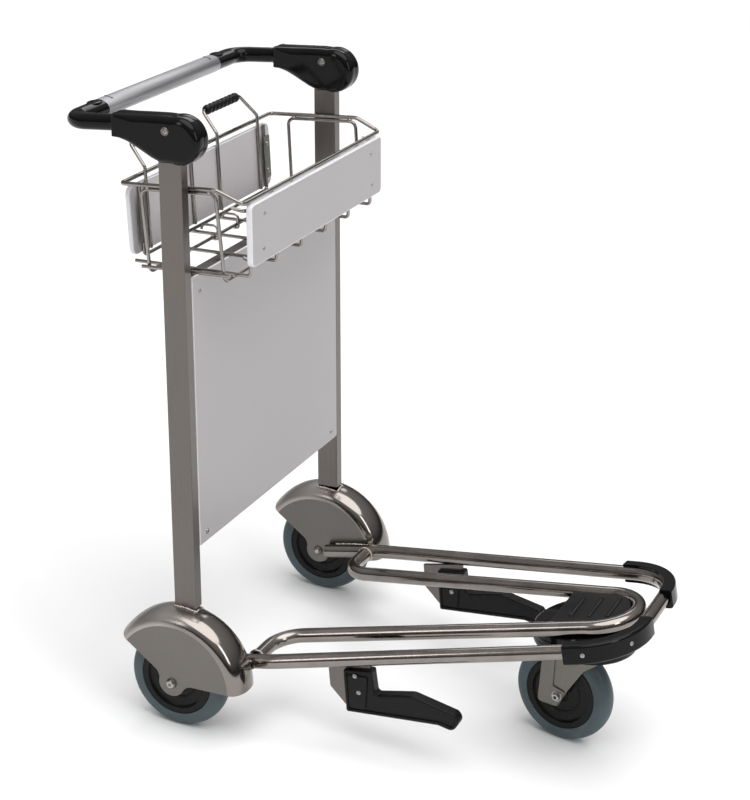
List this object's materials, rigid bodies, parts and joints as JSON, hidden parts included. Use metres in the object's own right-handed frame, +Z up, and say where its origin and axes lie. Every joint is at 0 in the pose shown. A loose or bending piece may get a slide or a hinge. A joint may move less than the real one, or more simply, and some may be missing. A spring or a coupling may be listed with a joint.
{
  "type": "airport luggage trolley",
  "caption": "Airport luggage trolley: sloping tube base, leaning posts with press-down brake handle, back panel, escalator hooks and wire basket with folding flap.",
  "frame": {"origin": "on the ground under the middle of the bounding box", "axes": "+Z up, +Y the way the trolley is pushed, +X its right side"},
  "size_m": [0.6518, 0.9952, 1.0495],
  "materials": {
    "satin_steel": "satin brushed stainless steel",
    "polished_steel": "mirror-polished stainless steel",
    "wire_steel": "electropolished stainless wire",
    "zinc_steel": "bright zinc-plated steel, fine grain",
    "board_grey": "light grey satin laminate, paler at the cut edges",
    "bar_aluminium": "satin silver anodised",
    "black_plastic": "glossy black moulded plastic",
    "dark_plastic": "matt black moulded plastic",
    "tyre_rubber": "blue-grey non-marking rubber",
    "grip_rubber": "black ribbed rubber"
  },
  "bodies": {
    "frame": {"post_right": "satin_steel", "post_left": "satin_steel", "cross_bar_upper": "satin_steel", "cross_bar_lower": "satin_steel", "hook_plate_right": "satin_steel", "hook_plate_left": "satin_steel", "fender_right": "polished_steel", "fender_left": "polished_steel", "outer_frame_tube": "polished_steel", "inner_frame_tube": "polished_steel", "basket_rim": "wire_steel", "basket_cradle": "wire_steel", "basket_front_wire": "wire_steel", "floor_wire_1": "wire_steel", "floor_wire_2": "wire_steel", "floor_wire_3": "wire_steel", "floor_wire_4": "wire_steel", "floor_wire_5": "wire_steel", "floor_wire_6": "wire_steel", "side_rod_right": "wire_steel", "side_rod_left": "wire_steel", "axle_right": "zinc_steel", "axle_left": "zinc_steel", "kingpin": "zinc_steel", "swivel_bearing": "zinc_steel", "board_bracket_right": "zinc_steel", "board_bracket_left": "zinc_steel", "handle_pivot_right": "zinc_steel", "handle_pivot_left": "zinc_steel", "back_panel": "board_grey", "front_board": "board_grey", "bumper_right": "black_plastic", "bumper_left": "black_plastic", "caster_housing": "black_plastic", "tread_plate": "dark_plastic", "hook_shoe_right": "dark_plastic", "hook_shoe_left": "dark_plastic"},
    "handle": {"handle_bar": "bar_aluminium", "elbow_right": "black_plastic", "elbow_left": "black_plastic", "casing_right": "black_plastic", "casing_left": "black_plastic"},
    "flap": {"flap_frame": "wire_steel", "flap_board": "board_grey", "flap_handle_right": "wire_steel", "flap_handle_left": "wire_steel", "flap_grip_right": "grip_rubber", "flap_grip_left": "grip_rubber", "flap_strip_right": "zinc_steel", "flap_strip_left": "zinc_steel"},
    "wheel_right": {"tyre_right": "tyre_rubber", "hub_right": "dark_plastic"},
    "wheel_left": {"tyre_left": "tyre_rubber", "hub_left": "dark_plastic"},
    "caster": {"caster_fork": "zinc_steel", "axle_caster": "zinc_steel"},
    "caster_wheel": {"tyre_caster": "tyre_rubber", "hub_caster": "dark_plastic"},
    "brake_right": {"brake_shoe_right": "dark_plastic"},
    "brake_left": {"brake_shoe_left": "dark_plastic"}
  },
  "joints": [
    {"name": "handle_tilt", "type": "hinge", "parent": "frame", "child": "handle", "pos_m": [0, -0.29939, 1.02509], "axis": [1, 0, 0], "range_deg": [0, 6], "stiffness_Nm_per_rad": 60, "springref_deg": -8.59},
    {"name": "flap_fold", "type": "hinge", "parent": "frame", "child": "flap", "pos_m": [0, -0.37338, 0.78937], "axis": [1, 0, 0], "range_deg": [-75, 0]},
    {"name": "wheel_right_spin", "type": "hinge", "parent": "frame", "child": "wheel_right", "pos_m": [0.284, -0.24173, 0.0889], "axis": [1, 0, 0], "continuous": true},
    {"name": "wheel_left_spin", "type": "hinge", "parent": "frame", "child": "wheel_left", "pos_m": [-0.284, -0.24173, 0.0889], "axis": [1, 0, 0], "continuous": true},
    {"name": "caster_swivel", "type": "hinge", "parent": "frame", "child": "caster", "pos_m": [0, 0.37987, 0.18], "axis": [0, 0, 1], "continuous": true},
    {"name": "caster_wheel_spin", "type": "hinge", "parent": "caster", "child": "caster_wheel", "pos_m": [-0.0064, 0.34241, 0.0889], "axis": [0.9857, -0.1685, 0], "continuous": true},
    {"name": "brake_right_press", "type": "hinge", "parent": "frame", "child": "brake_right", "pos_m": [0.284, -0.18344, 0.18219], "axis": [1, 0, 0], "range_deg": [-5, 0]},
    {"name": "brake_left_press", "type": "hinge", "parent": "frame", "child": "brake_left", "pos_m": [-0.284, -0.18344, 0.18219], "axis": [1, 0, 0], "range_deg": [-5, 0]}
  ],
  "couplings": [
    {"joint": "brake_right_press", "follows": "handle_tilt", "ratio": -0.8},
    {"joint": "brake_left_press", "follows": "handle_tilt", "ratio": -0.8}
  ]
}
